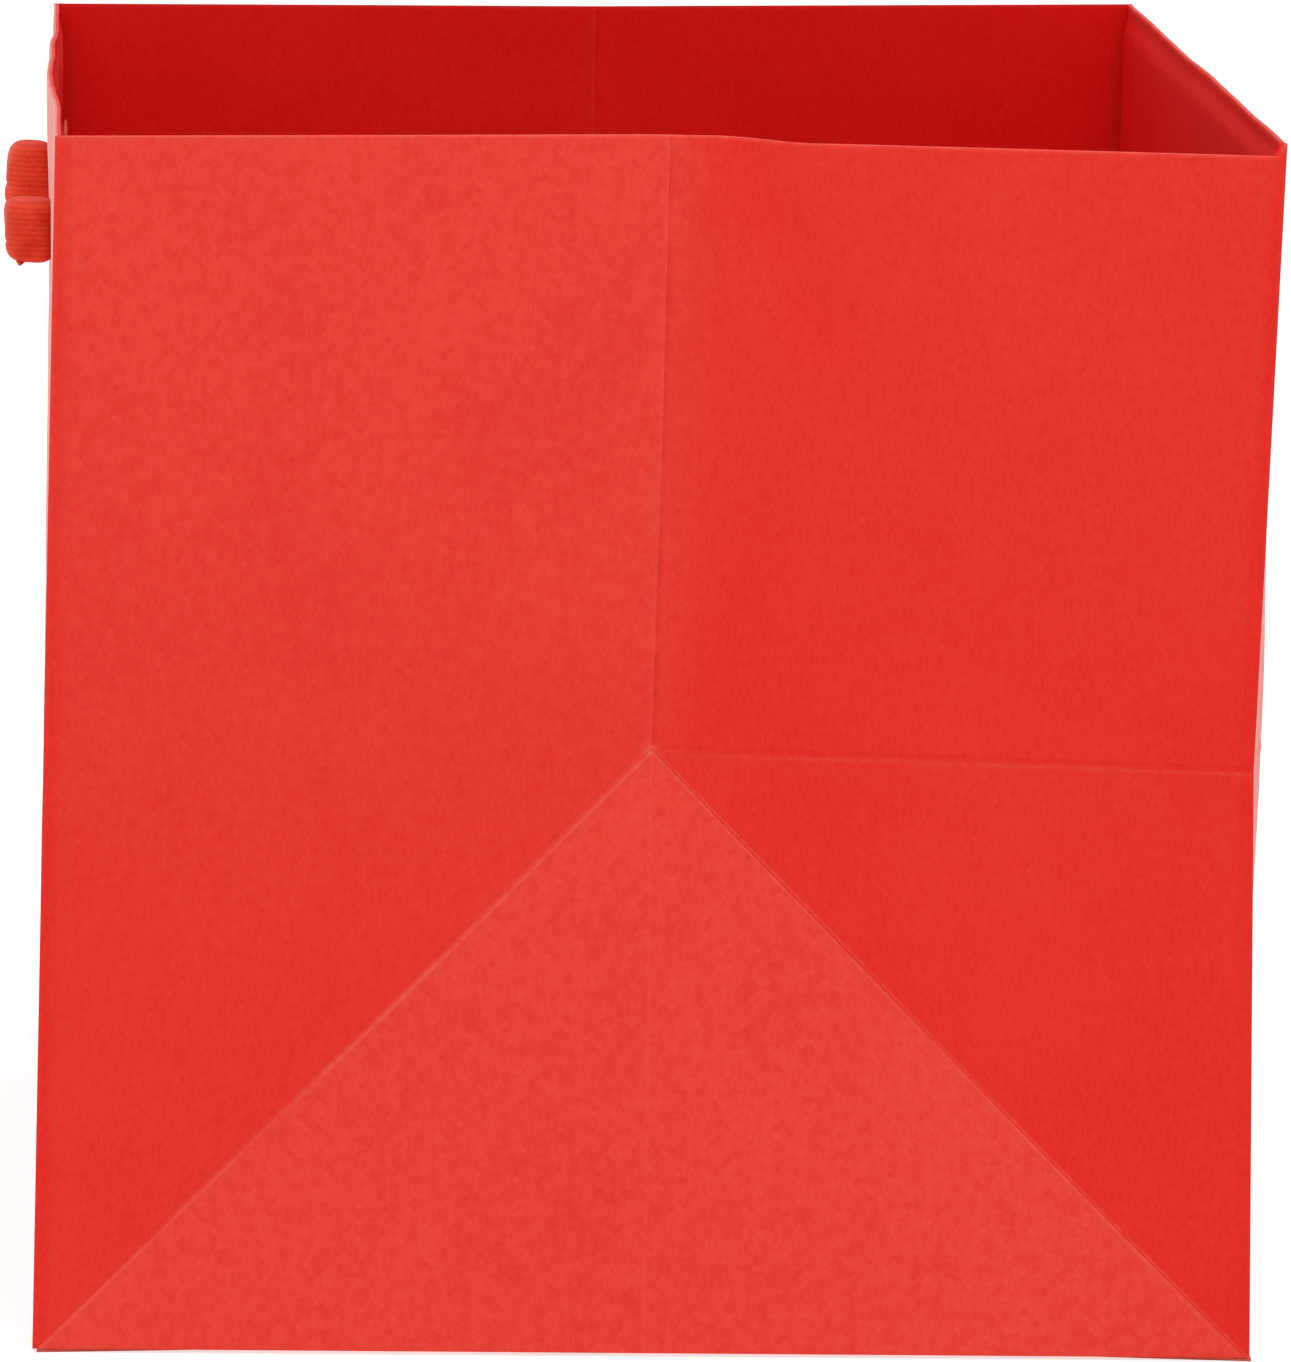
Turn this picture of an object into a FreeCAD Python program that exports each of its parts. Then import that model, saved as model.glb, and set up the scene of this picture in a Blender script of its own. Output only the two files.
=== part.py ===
import FreeCAD, Part
import math
import os

# A small folded paper carrier bag with ribbon handles, standing open.
# X runs along the bag's width, Y from the front panel (-Y) to the back panel (+Y), and Z is up.
# The origin is on the ground at the middle of the base. All sizes are in millimetres.

# Driving dimensions
WIDTH = 200.0
DEPTH = 150.0
HEIGHT = 150.0
PAPER = 0.35
MOUTH_CARD = 0.6
CARD_MARGIN = 1.0
BOARD = 1.0
CREASE_GAP = 0.1
HEM_DEPTH = 30.0
SEAM_WIDTH = 18.0
SEAM_INSET = 1.0
HEM_END_GAP = 0.3
FLAP_OVERLAP = 15.0
FLAP_TAPER = 10.0
FLAP_CLEARANCE = 0.2
FLAP_RAMP = 2.0
TUCK_DEPTH = 60.0
TUCK_INSET = 0.5
BOARD_PLAY_X = 2.0
BOARD_PLAY_Y = 2.5
HANDLE_SPACING = 86.0
HOLE_DROP = 17.0
HOLE_RADIUS = 2.3
STUB_RADIUS = 2.0
RIBBON_WIDTH = 10.0
RIBBON_THICKNESS = 0.6
RIBBON_CLEARANCE = 0.3
LOOP_DROP = 92.0
LOOP_RADIUS = 13.0
KNOT_WIDTH = 11.0
KNOT_PROUD = 5.8
KNOT_HEIGHT = 6.6
KNOT_ROUNDING = 1.8
TAIL_LENGTH = 1.8
TAIL_NOTCH = 1.0
TAIL_STAND_OFF = 2.2
BOARD_CLEARANCE = 0.05

# Places worked out from them
HALF_X = WIDTH / 2
HALF_Y = DEPTH / 2
APEX = DEPTH / 2
INNER_Y = HALF_Y - PAPER
CORNER_Y = INNER_Y - CREASE_GAP
LOW_EDGE = PAPER + CREASE_GAP
HALF_GAP = CREASE_GAP / 2
DIAGONAL_GAP = CREASE_GAP * math.sqrt(0.5)
TUCK_Z = 2 * PAPER
BOARD_Z = 3 * PAPER + BOARD_CLEARANCE
HEM_LOW = HEIGHT - HEM_DEPTH
HEM_INNER_Y = INNER_Y - MOUTH_CARD - PAPER
HEM_INNER_X = HALF_X - 2 * PAPER
HOLE_Z = HEIGHT - HOLE_DROP
HOLE_X = HANDLE_SPACING / 2
SIDES = {"left": -1, "right": 1}


def box(x0, x1, y0, y1, z0, z1):
    """A box between two opposite corners."""
    return Part.makeBox(x1 - x0, y1 - y0, z1 - z0, FreeCAD.Vector(x0, y0, z0))


def sheet(corners, normal):
    """A flat outline, closed and pushed along normal to its thickness."""
    points = [FreeCAD.Vector(*c) for c in corners]
    outline = Part.makePolygon(points + points[:1])
    return Part.Face(outline).extrude(FreeCAD.Vector(*normal))


def mirrored(shape, x=1, y=1):
    """The shape flipped across the bag's middle where x or y is -1."""
    origin = FreeCAD.Vector(0, 0, 0)
    if x < 0:
        shape = shape.mirror(origin, FreeCAD.Vector(1, 0, 0))
    if y < 0:
        shape = shape.mirror(origin, FreeCAD.Vector(0, 1, 0))
    return shape


def gusset_plate(outline):
    """A facet of the right gusset: an outline of (y, z) points in the plane of the outer face."""
    return sheet([(HALF_X, y, z) for y, z in outline], (-PAPER, 0, 0))


def gusset_front_fold():
    """The front half of a gusset, above the diagonal crease."""
    diagonal_foot = LOW_EDGE + DIAGONAL_GAP
    diagonal_top = APEX - HALF_GAP + DIAGONAL_GAP
    return gusset_plate([
        (-CORNER_Y, diagonal_foot),
        (-HALF_GAP, diagonal_top),
        (-HALF_GAP, HEIGHT),
        (-CORNER_Y, HEIGHT),
    ])


def gusset_rear_fold():
    """The rear half of a gusset, above the level crease."""
    return gusset_plate([
        (HALF_GAP, APEX + HALF_GAP),
        (CORNER_Y, APEX + HALF_GAP),
        (CORNER_Y, HEIGHT),
        (HALF_GAP, HEIGHT),
    ])


def gusset_bottom_triangle():
    """The triangle that stands on the base between the two diagonal creases."""
    foot_y = CORNER_Y - DIAGONAL_GAP
    return gusset_plate([(-foot_y, LOW_EDGE), (foot_y, LOW_EDGE), (0, APEX - DIAGONAL_GAP)])


def gusset_corner_triangle():
    """The small triangle between the rear diagonal, the level crease and the back corner."""
    level = APEX - HALF_GAP
    return gusset_plate([
        (HALF_GAP + DIAGONAL_GAP, level),
        (CORNER_Y, LOW_EDGE + DIAGONAL_GAP),
        (CORNER_Y, level),
    ])


def gusset_hem(y0, y1):
    """The turned-in top of a gusset half, glued to its inner face."""
    return box(HEM_INNER_X, HALF_X - PAPER, y0, y1, HEM_LOW, HEIGHT)


def handle_holes():
    """The two round holes that the ribbon passes through, as cutters."""
    start = HEM_INNER_Y - PAPER
    length = HALF_Y + PAPER - start
    along_y = FreeCAD.Vector(0, 1, 0)
    cutters = [
        Part.makeCylinder(HOLE_RADIUS, length, FreeCAD.Vector(x, start, HOLE_Z), along_y)
        for x in (-HOLE_X, HOLE_X)
    ]
    return Part.makeCompound(cutters)


def back_panel(low, high):
    """A stretch of the back panel, with the handle holes cut where it reaches them."""
    return box(-HALF_X, HALF_X, INNER_Y, HALF_Y, low, high).cut(handle_holes())


def mouth_hem():
    """The turned-in top of the back panel: a sheet inside the card and a cap over its edge."""
    inside = box(-HEM_INNER_X, HEM_INNER_X, HEM_INNER_Y, HEM_INNER_Y + PAPER, HEM_LOW, HEIGHT)
    cap = box(-HEM_INNER_X, HEM_INNER_X, HEM_INNER_Y, INNER_Y, HEIGHT - PAPER, HEIGHT)
    return inside.fuse(cap).removeSplitter().cut(handle_holes())


def mouth_card():
    """The stiffening card hidden under the back hem."""
    card_x = HEM_INNER_X - CARD_MARGIN
    card_low = HEM_LOW + CARD_MARGIN
    card = box(-card_x, card_x, INNER_Y - MOUTH_CARD, INNER_Y, card_low, HEIGHT - PAPER)
    return card.cut(handle_holes())


def knot():
    """A tied ribbon end outside the back panel: a rounded knot, its cut tail and the stub in the hole."""
    low = HOLE_Z - KNOT_HEIGHT / 2
    half = KNOT_WIDTH / 2
    body = box(-half, half, HALF_Y, HALF_Y + KNOT_PROUD, low, low + KNOT_HEIGHT)
    outer = [e for e in body.Edges if e.BoundBox.YMax > HALF_Y + CREASE_GAP]
    body = body.makeFillet(KNOT_ROUNDING, outer)
    half_tail = RIBBON_WIDTH / 2
    tail_y = HALF_Y + TAIL_STAND_OFF
    tail_low = low - TAIL_LENGTH
    tail = sheet(
        [
            (-half_tail, tail_y, HOLE_Z),
            (half_tail, tail_y, HOLE_Z),
            (half_tail, tail_y, tail_low),
            (0, tail_y, tail_low + TAIL_NOTCH),
            (-half_tail, tail_y, tail_low),
        ],
        (0, 2 * RIBBON_THICKNESS, 0),
    )
    stub_start = FreeCAD.Vector(0, HEM_INNER_Y, HOLE_Z)
    stub_length = HALF_Y + TAIL_STAND_OFF - HEM_INNER_Y
    stub = Part.makeCylinder(STUB_RADIUS, stub_length, stub_start, FreeCAD.Vector(0, 1, 0))
    return body.fuse([tail, stub]).removeSplitter()


def handle_ribbon():
    """The back handle: one flat ribbon hanging inside the bag in a deep V with a round bottom."""
    half = RIBBON_WIDTH / 2
    centre_z = HOLE_Z - LOOP_DROP + LOOP_RADIUS
    rise = HOLE_Z - centre_z
    reach = math.hypot(HOLE_X, rise)
    lean = math.atan2(rise, HOLE_X) - math.acos(LOOP_RADIUS / reach)
    leg = math.sqrt(reach**2 - LOOP_RADIUS**2) + half
    y = HEM_INNER_Y - RIBBON_CLEARANCE

    def point(side, radius, along):
        """A point beside the leg on one side: its distance from the loop's centre, and along the leg."""
        x = radius * math.cos(lean) - along * math.sin(lean)
        z = centre_z + radius * math.sin(lean) + along * math.cos(lean)
        return FreeCAD.Vector(side * x, y, z)

    def bend(radius, side):
        """The round bottom of one edge, from the given side to the other."""
        lowest = FreeCAD.Vector(0, y, centre_z - radius)
        return Part.Arc(point(side, radius, 0), lowest, point(-side, radius, 0)).toShape()

    wide = LOOP_RADIUS + half
    narrow = LOOP_RADIUS - half
    edges = [
        Part.makeLine(point(1, wide, leg), point(1, wide, 0)),
        bend(wide, 1),
        Part.makeLine(point(-1, wide, 0), point(-1, wide, leg)),
        Part.makeLine(point(-1, wide, leg), point(-1, narrow, leg)),
        Part.makeLine(point(-1, narrow, leg), point(-1, narrow, 0)),
        bend(narrow, -1),
        Part.makeLine(point(1, narrow, 0), point(1, narrow, leg)),
        Part.makeLine(point(1, narrow, leg), point(1, wide, leg)),
    ]
    band = Part.Face(Part.Wire(edges)).extrude(FreeCAD.Vector(0, -RIBBON_THICKNESS, 0))
    top = HOLE_Z + RIBBON_THICKNESS / 2
    return band.common(box(-HALF_X, HALF_X, y - PAPER - RIBBON_THICKNESS, y, 0, top))


def flap_outline(edge_y, free_y, z):
    """The plan of a long bottom flap, narrowing from its creased edge to its free edge."""
    narrow = HALF_X - FLAP_TAPER
    return [(-HALF_X, edge_y, z), (HALF_X, edge_y, z), (narrow, free_y, z), (-narrow, free_y, z)]


def bottom_flap_back():
    """The outer long flap, which lies on the ground."""
    return sheet(flap_outline(HALF_Y, -FLAP_OVERLAP, 0), (0, 0, PAPER))


def bottom_flap_front():
    """The other long flap: it lies on the ground, then steps up over the edge of the back flap."""
    step = -FLAP_OVERLAP - FLAP_CLEARANCE
    ramp = step - FLAP_RAMP
    profile = [
        (-HALF_Y, 0),
        (ramp, 0),
        (step, PAPER),
        (FLAP_OVERLAP, PAPER),
        (FLAP_OVERLAP, 2 * PAPER),
        (step, 2 * PAPER),
        (ramp, PAPER),
        (-HALF_Y, PAPER),
    ]
    strip = sheet([(-HALF_X, y, z) for y, z in profile], (WIDTH, 0, 0))
    plan = sheet(flap_outline(-HALF_Y, FLAP_OVERLAP, 0), (0, 0, 2 * PAPER))
    return strip.common(plan)


def bottom_tuck():
    """The end of the right gusset, folded in under the board with its corners cut at 45 degrees."""
    wide = CORNER_Y - TUCK_INSET
    narrow = wide - TUCK_DEPTH
    edge = HALF_X - TUCK_INSET
    inner = edge - TUCK_DEPTH
    return sheet(
        [(edge, -wide, TUCK_Z), (edge, wide, TUCK_Z), (inner, narrow, TUCK_Z), (inner, -narrow, TUCK_Z)],
        (0, 0, PAPER),
    )


def bottom_board():
    """The loose card that stiffens the base."""
    x = HALF_X - BOARD_PLAY_X
    y = HALF_Y - BOARD_PLAY_Y
    return box(-x, x, -y, y, BOARD_Z, BOARD_Z + BOARD)


def seam_flap(low, high):
    """The glue flap that joins the left gusset to the inside of the back panel."""
    edge = -HALF_X + SEAM_INSET
    return box(edge, edge + SEAM_WIDTH, INNER_Y - PAPER, INNER_Y, low, high)


def base_nodes():
    nodes = {
        "bottom_flap_back": bottom_flap_back(),
        "bottom_flap_front": bottom_flap_front(),
        "bottom_board": bottom_board(),
    }
    for side, sign in SIDES.items():
        nodes[f"bottom_tuck_{side}"] = mirrored(bottom_tuck(), x=sign)
    return nodes


def gusset_nodes():
    nodes = {}
    hem_end = HEM_INNER_Y - HEM_END_GAP
    for side, sign in SIDES.items():
        pieces = {
            "front_fold": gusset_front_fold(),
            "rear_fold": gusset_rear_fold(),
            "bottom_triangle": gusset_bottom_triangle(),
            "corner_triangle": gusset_corner_triangle(),
            "front_hem": gusset_hem(-hem_end, -HALF_GAP),
            "rear_hem": gusset_hem(HALF_GAP, hem_end),
        }
        for name, shape in pieces.items():
            nodes[f"gusset_{side}_{name}"] = mirrored(shape, x=sign)
    return nodes


def panel_nodes():
    nodes = {
        "back_panel_lower": back_panel(LOW_EDGE, APEX - HALF_GAP),
        "back_panel_upper": back_panel(APEX + HALF_GAP, HEIGHT),
        "front_panel": mirrored(back_panel(LOW_EDGE, HEIGHT), y=-1),
        "seam_flap_lower": seam_flap(SEAM_WIDTH, APEX - SEAM_INSET),
        "seam_flap_upper": seam_flap(APEX + SEAM_INSET, HEM_LOW - SEAM_INSET),
    }
    for name, sign in (("back", 1), ("front", -1)):
        nodes[f"{name}_hem"] = mirrored(mouth_hem(), y=sign)
        nodes[f"{name}_mouth_card"] = mirrored(mouth_card(), y=sign)
        nodes[f"{name}_handle_ribbon"] = mirrored(handle_ribbon(), y=sign)
        for side, x_sign in SIDES.items():
            placed = knot().translated(FreeCAD.Vector(x_sign * HOLE_X, 0, 0))
            nodes[f"{name}_knot_{side}"] = mirrored(placed, y=sign)
    return nodes


def main():
    os.makedirs("parts", exist_ok=True)
    for name, shape in {**base_nodes(), **gusset_nodes(), **panel_nodes()}.items():
        shape.exportStep(f"parts/{name}.step")
        print(name, shape.isValid(), len(shape.Solids), round(shape.Volume, 1), "mm3")


main()
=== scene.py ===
import math

import bmesh
import bpy
import numpy as np
from mathutils import Matrix, Vector


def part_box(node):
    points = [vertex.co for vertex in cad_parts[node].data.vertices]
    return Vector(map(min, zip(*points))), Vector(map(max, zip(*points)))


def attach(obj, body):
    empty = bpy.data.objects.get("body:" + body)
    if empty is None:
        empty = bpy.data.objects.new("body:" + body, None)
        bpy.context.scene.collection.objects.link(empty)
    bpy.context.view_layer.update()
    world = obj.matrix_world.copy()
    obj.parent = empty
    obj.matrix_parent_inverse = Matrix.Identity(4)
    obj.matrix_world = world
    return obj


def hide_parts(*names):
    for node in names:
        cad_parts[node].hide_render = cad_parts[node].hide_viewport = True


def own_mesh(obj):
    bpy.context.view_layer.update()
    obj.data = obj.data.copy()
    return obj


# A small red paper carrier bag with ribbon handles, standing open on a pale floor.
# Lengths are in metres. X is the bag's width, Y runs from the front panel to the back panel, Z is up.

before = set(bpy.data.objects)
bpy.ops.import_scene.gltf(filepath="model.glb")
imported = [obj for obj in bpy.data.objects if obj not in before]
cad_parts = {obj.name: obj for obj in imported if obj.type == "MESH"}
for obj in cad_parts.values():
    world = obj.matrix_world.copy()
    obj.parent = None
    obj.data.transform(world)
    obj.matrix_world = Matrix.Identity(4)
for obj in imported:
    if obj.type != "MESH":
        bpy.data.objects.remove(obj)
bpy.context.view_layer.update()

# ---------------------------------------------------------------- sizes read from the frame
MM = 0.001
FRONT_LOW, FRONT_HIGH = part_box("front_panel")
HALF_X = FRONT_HIGH.x
HALF_Y = -FRONT_LOW.y
HEIGHT = FRONT_HIGH.z
FOOT = FRONT_LOW.z
PAPER = FRONT_HIGH.y - FRONT_LOW.y
APEX = HALF_Y
HEM_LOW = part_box("front_hem")[0].z
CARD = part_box("front_mouth_card")[1].y - FRONT_HIGH.y
BOARD_LOW, BOARD_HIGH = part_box("bottom_board")
TUCK_LOW, TUCK_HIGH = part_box("bottom_tuck_right")
FLAP_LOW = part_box("bottom_flap_back")[0]
STRAP_LOW, STRAP_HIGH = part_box("back_handle_ribbon")
KNOT_LOW, KNOT_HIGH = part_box("back_knot_right")
HOLE_X = (KNOT_LOW.x + KNOT_HIGH.x) / 2
HOLE_DROP = 17 * MM
HOLE_Z = HEIGHT - HOLE_DROP
SEAM_EDGE_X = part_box("seam_flap_upper")[1].x
RIM_ROUNDING = 0.3 * MM
LAYER_GAP = 0.02 * MM

# ---------------------------------------------------------------- how far the used bag is out of true
# What each corner of the shell moves by, (y, z) in mm: (end of the bag, side, level).
CORNER_SHIFT = {
    ("right", "front", "top"): (0.8, 0.1),
    ("right", "back", "top"): (0.5, 1.2),
    ("right", "front", "foot"): (-0.55, 0.0),
    ("right", "back", "foot"): (-0.2, 0.0),
    ("left", "front", "top"): (-0.9, -0.2),
    ("left", "back", "top"): (0.3, 1.8),
    ("left", "front", "foot"): (0.0, 0.0),
    ("left", "back", "foot"): (0.0, 0.0),
}
RIM_PUSH = {"right": 6.3 * MM, "left": 4.0 * MM}
APEX_PUSH = {"right": 4.0 * MM, "left": 2.2 * MM}
LEVEL_DENT = 1.75 * MM
LEVEL_DROP = 1.5 * MM
# How far the near gusset's rim hangs at its back corner, and from its middle backwards.
CORNER_DROP = 1.0 * MM
RIM_DROP = 0.6 * MM
FRONT_BULGE = 0.15 * MM
BACK_BULGE = 0.9 * MM
SIDE_BELLY = 0.6 * MM
UNEVENNESS = 0.3 * MM
# A fold stands out by this much, over this half width.
RIDGE = 0.11 * MM
RIDGE_WIDTH = 0.32 * MM
# The turned-in hem stops this short of a panel's side edges, and closes on the panel over its card.
HEM_INSET = 0.7 * MM
HEM_CLOSES = (4.5 * MM, 1.2 * MM)
CARD_TOP = 5 * MM
CARD_INSET = 1.7 * MM
# Share of each relief that is to be left when the bag is folded flat; this script passes these shares on
# with each piece but folds nothing.
GUSSET_KEEP, PANEL_KEEP, CORNER_KEEP, KNOT_KEEP = 0.12, 0.3, 0.03, 0.4


def smooth(value, low, high):
    """0 below low, 1 above high, and a soft step between."""
    t = np.clip((value - low) / (high - low), 0, 1)
    return t * t * (3 - 2 * t)


def bell(value, middle, width):
    """A rounded bump of height 1."""
    return np.exp(-(((value - middle) / width) ** 2))


def waves(a, b):
    """Slow unevenness of a sheet of paper that has been handled, about -1 to 1."""
    return (
        np.sin(a * 61 + b * 23 + 0.4) * np.sin(b * 57 - a * 17 + 1.3)
        + 0.6 * np.sin(a * 118 - b * 74 + 2.1) * np.sin(b * 133 + a * 41 + 0.2)
        + 0.3 * np.sin(a * 231 + b * 196) * np.sin(b * 247 - a * 160 + 0.9)
    ) / 1.6


def crease_distances(a, b):
    """Distance from each fold line of a gusset: front and rear diagonal, centre, level."""
    front = np.where(a <= 0, np.abs(b - (APEX + a)), APEX) / math.sqrt(2)
    rear = np.where(a >= 0, np.abs(b - (APEX - a)), APEX) / math.sqrt(2)
    centre = np.hypot(a, np.minimum(b - APEX, 0))
    level = np.hypot(b - APEX, np.minimum(a, 0))
    return front, rear, centre, level


def segment_distance(a, b, start, end):
    """Distance from a straight stretch between two (a, b) points."""
    da, db = end[0] - start[0], end[1] - start[1]
    t = np.clip(((a - start[0]) * da + (b - start[1]) * db) / (da * da + db * db), 0, 1)
    return np.hypot(a - start[0] - t * da, b - start[1] - t * db)


def gusset_push(side, a, b):
    """How far a gusset's outer face is pushed into the bag: a across it, b up."""
    rim, apex = RIM_PUSH[side], APEX_PUSH[side]
    share = 1 - np.abs(a) / HALF_Y
    start = np.where(a < 0, HALF_Y * share, APEX)
    up = np.clip((b - start) / np.maximum(HEIGHT - start, MM), 0, 1)
    push = np.where(b < HALF_Y * share, apex * b / APEX, share * (apex + (rim - apex) * up))
    window = np.sin(math.pi * np.clip((a + HALF_Y) / (2 * HALF_Y), 0, 1)) * np.clip(b / (20 * MM), 0, 1)
    push = push + 0.28 * MM * waves(a, b) * window
    front, rear, centre, level = crease_distances(a, b)
    for distance, height in ((front, 0.7), (rear, 1.0), (centre, 0.9), (level, 1.1)):
        push = push - RIDGE * height * bell(distance, 0, RIDGE_WIDTH) * window ** 0.3
    if side == "right":
        dent = segment_distance(a, b, (9 * MM, HEIGHT), (19 * MM, HEIGHT - 22 * MM))
        push = push + 1.0 * MM * bell(dent, 0, 3.6 * MM) - 0.5 * MM * bell(dent, 7 * MM, 2.5 * MM)
    return push


def panel_bulge(side, a, b):
    """How far a long panel's outer face stands out: a across it, b up."""
    span = 1 - (a / HALF_X) ** 2
    if side == "front":
        kink = smooth(a, -60 * MM, -30 * MM) * (1 - smooth(a, 20 * MM, 62 * MM))
        rim = 0.7 * MM * kink + 0.1 * MM * span
        body = FRONT_BULGE * np.sin(math.pi * np.clip(b / HEIGHT, 0, 1)) ** 0.7
        body = span * (body + 0.2 * MM * bell(b, 118 * MM, 26 * MM))
        share = smooth(b, 126 * MM, HEIGHT - 4 * MM)
        bulge = body * (1 - share) + rim * share
    else:
        low = BACK_BULGE * span * np.sin(math.pi * np.clip(b / APEX, 0, 1))
        high = 0.7 * BACK_BULGE * span * np.sin(math.pi * np.clip((b - APEX) / (HEIGHT - APEX), 0, 1))
        near = 1.7 * MM * bell(b, APEX, 22 * MM) + 0.8 * MM * bell(b, 105 * MM, 30 * MM)
        near = near * bell(a, 86 * MM, 12 * MM)
        ridge = RIDGE * 1.4 * bell(b, APEX, RIDGE_WIDTH)
        bulge = np.where(b < APEX, low, high) + (near + ridge) * np.minimum(1, span * 3)
    return bulge + UNEVENNESS * waves(a + 0.3, b) * span


def warp(x, y, z):
    """Moves points of the true shell to where the standing, slightly skewed bag has them."""
    end = np.clip((x / HALF_X + 1) / 2, 0, 1)
    back = np.clip((y / HALF_Y + 1) / 2, 0, 1)
    top = np.clip(z / HEIGHT, 0, 1)
    shift_y, shift_z = np.zeros_like(x), np.zeros_like(x)
    for (end_name, side_name, level_name), (dy, dz) in CORNER_SHIFT.items():
        weight = end if end_name == "right" else 1 - end
        weight = weight * (back if side_name == "back" else 1 - back)
        weight = weight * (top if level_name == "top" else 1 - top)
        shift_y += weight * dy * MM
        shift_z += weight * dz * MM
    tent = np.clip(1 - np.abs(z - APEX) / APEX, 0, 1)
    rear = np.clip(2 * back - 1, 0, 1)
    shift_y -= LEVEL_DENT * tent * (0.25 + 0.75 * end ** 12) * rear
    shift_z -= LEVEL_DROP * tent * end ** 6 * rear
    shift_y -= SIDE_BELLY * bell(z, APEX, 30 * MM) * bell(y, 0, 20 * MM) * end ** 6
    return np.stack([x, y + shift_y, z + shift_z], -1)


def rim_drop(a, b):
    """How far the near gusset's rim hangs below the true one: a across it, b up."""
    drop = CORNER_DROP * np.clip(a / HALF_Y, 0, 1) + RIM_DROP * smooth(a, 4 * MM, 18 * MM)
    return drop * np.clip((HALF_Y - a) / (0.7 * MM), 0, 1) * (b / HEIGHT) ** 4


def wall_point(wall, a, b, depth):
    """Points of a wall: a across it, b up, depth in from its outer face."""
    a, b = np.asarray(a, float), np.asarray(b, float)
    lip = np.clip((b - (HEIGHT - RIM_ROUNDING)) / RIM_ROUNDING, 0, 1)
    inward = depth + np.where(depth == 0, RIM_ROUNDING * (1 - np.sqrt(1 - lip ** 2)), 0)
    if wall in RIM_PUSH:
        sign = 1 if wall == "right" else -1
        x = sign * (HALF_X - inward - gusset_push(wall, a, b))
        y = a * (HALF_Y - depth) / HALF_Y
        b = b - rim_drop(a, b) * (wall == "right")
    else:
        sign = 1 if wall == "back" else -1
        x = a * (HALF_X - depth) / HALF_X
        y = sign * (HALF_Y - inward + panel_bulge(wall, a, b))
    return warp(x, y, b)


# ---------------------------------------------------------------- mesh building
def lines(count, stops=(0, 1)):
    """Grid lines over the stops, closer together towards each of them."""
    eased = (1 - np.cos(np.linspace(0, math.pi, count + 1))) / 2
    spans = [s + (e - s) * eased[:-1] for s, e in zip(stops, stops[1:])]
    return np.concatenate(spans + [[stops[-1]]])


def new_piece(name, points, faces, attributes=None, sharp=40):
    """A mesh object from points and faces, cleaned, smooth but for its sharp edges."""
    mesh = bpy.data.meshes.new(name)
    mesh.from_pydata([tuple(p) for p in points], [], faces)
    for key, values in (attributes or {}).items():
        layer = mesh.attributes.new(key, "FLOAT", "POINT")
        layer.data.foreach_set("value", np.asarray(values, np.float32))
    work = bmesh.new()
    work.from_mesh(mesh)
    bmesh.ops.remove_doubles(work, verts=work.verts, dist=1e-6)
    bmesh.ops.recalc_face_normals(work, faces=work.faces)
    work.to_mesh(mesh)
    work.free()
    mesh.polygons.foreach_set("use_smooth", [True] * len(mesh.polygons))
    mesh.set_sharp_from_angle(angle=math.radians(sharp))
    piece = bpy.data.objects.new(name, mesh)
    bpy.context.scene.collection.objects.link(piece)
    return piece


def slab(name, outer, inner, attributes=None):
    """A thin closed solid between two grids of points of the same size."""
    rows, columns = outer.shape[:2]
    count = rows * columns
    points = np.concatenate([outer.reshape(-1, 3), inner.reshape(-1, 3)])
    at = np.arange(count).reshape(rows, columns)
    a, b, c, d = (g.ravel() for g in (at[:-1, :-1], at[1:, :-1], at[1:, 1:], at[:-1, 1:]))
    faces = np.concatenate([np.stack([a, b, c, d], 1), np.stack([d, c, b, a], 1) + count])
    ring = np.concatenate([at[:-1, 0], at[-1, :-1], at[:0:-1, -1], at[0, :0:-1]])
    after = np.roll(ring, -1)
    rim = np.stack([after, ring, ring + count, after + count], 1)
    doubled = {k: np.tile(np.asarray(v).ravel(), 2) for k, v in (attributes or {}).items()}
    return new_piece(name, points, np.concatenate([faces, rim]).tolist(), doubled)


def spread(corners, u, v):
    """Points over a four-cornered patch; the corners go round it from its lower left."""
    u, v = np.meshgrid(u, v, indexing="ij")
    p = [np.array(c, float) for c in corners]
    share = [(1 - u) * (1 - v), u * (1 - v), u * v, (1 - u) * v]
    return tuple(sum(s * q[axis] for s, q in zip(share, p)) for axis in (0, 1))


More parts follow.
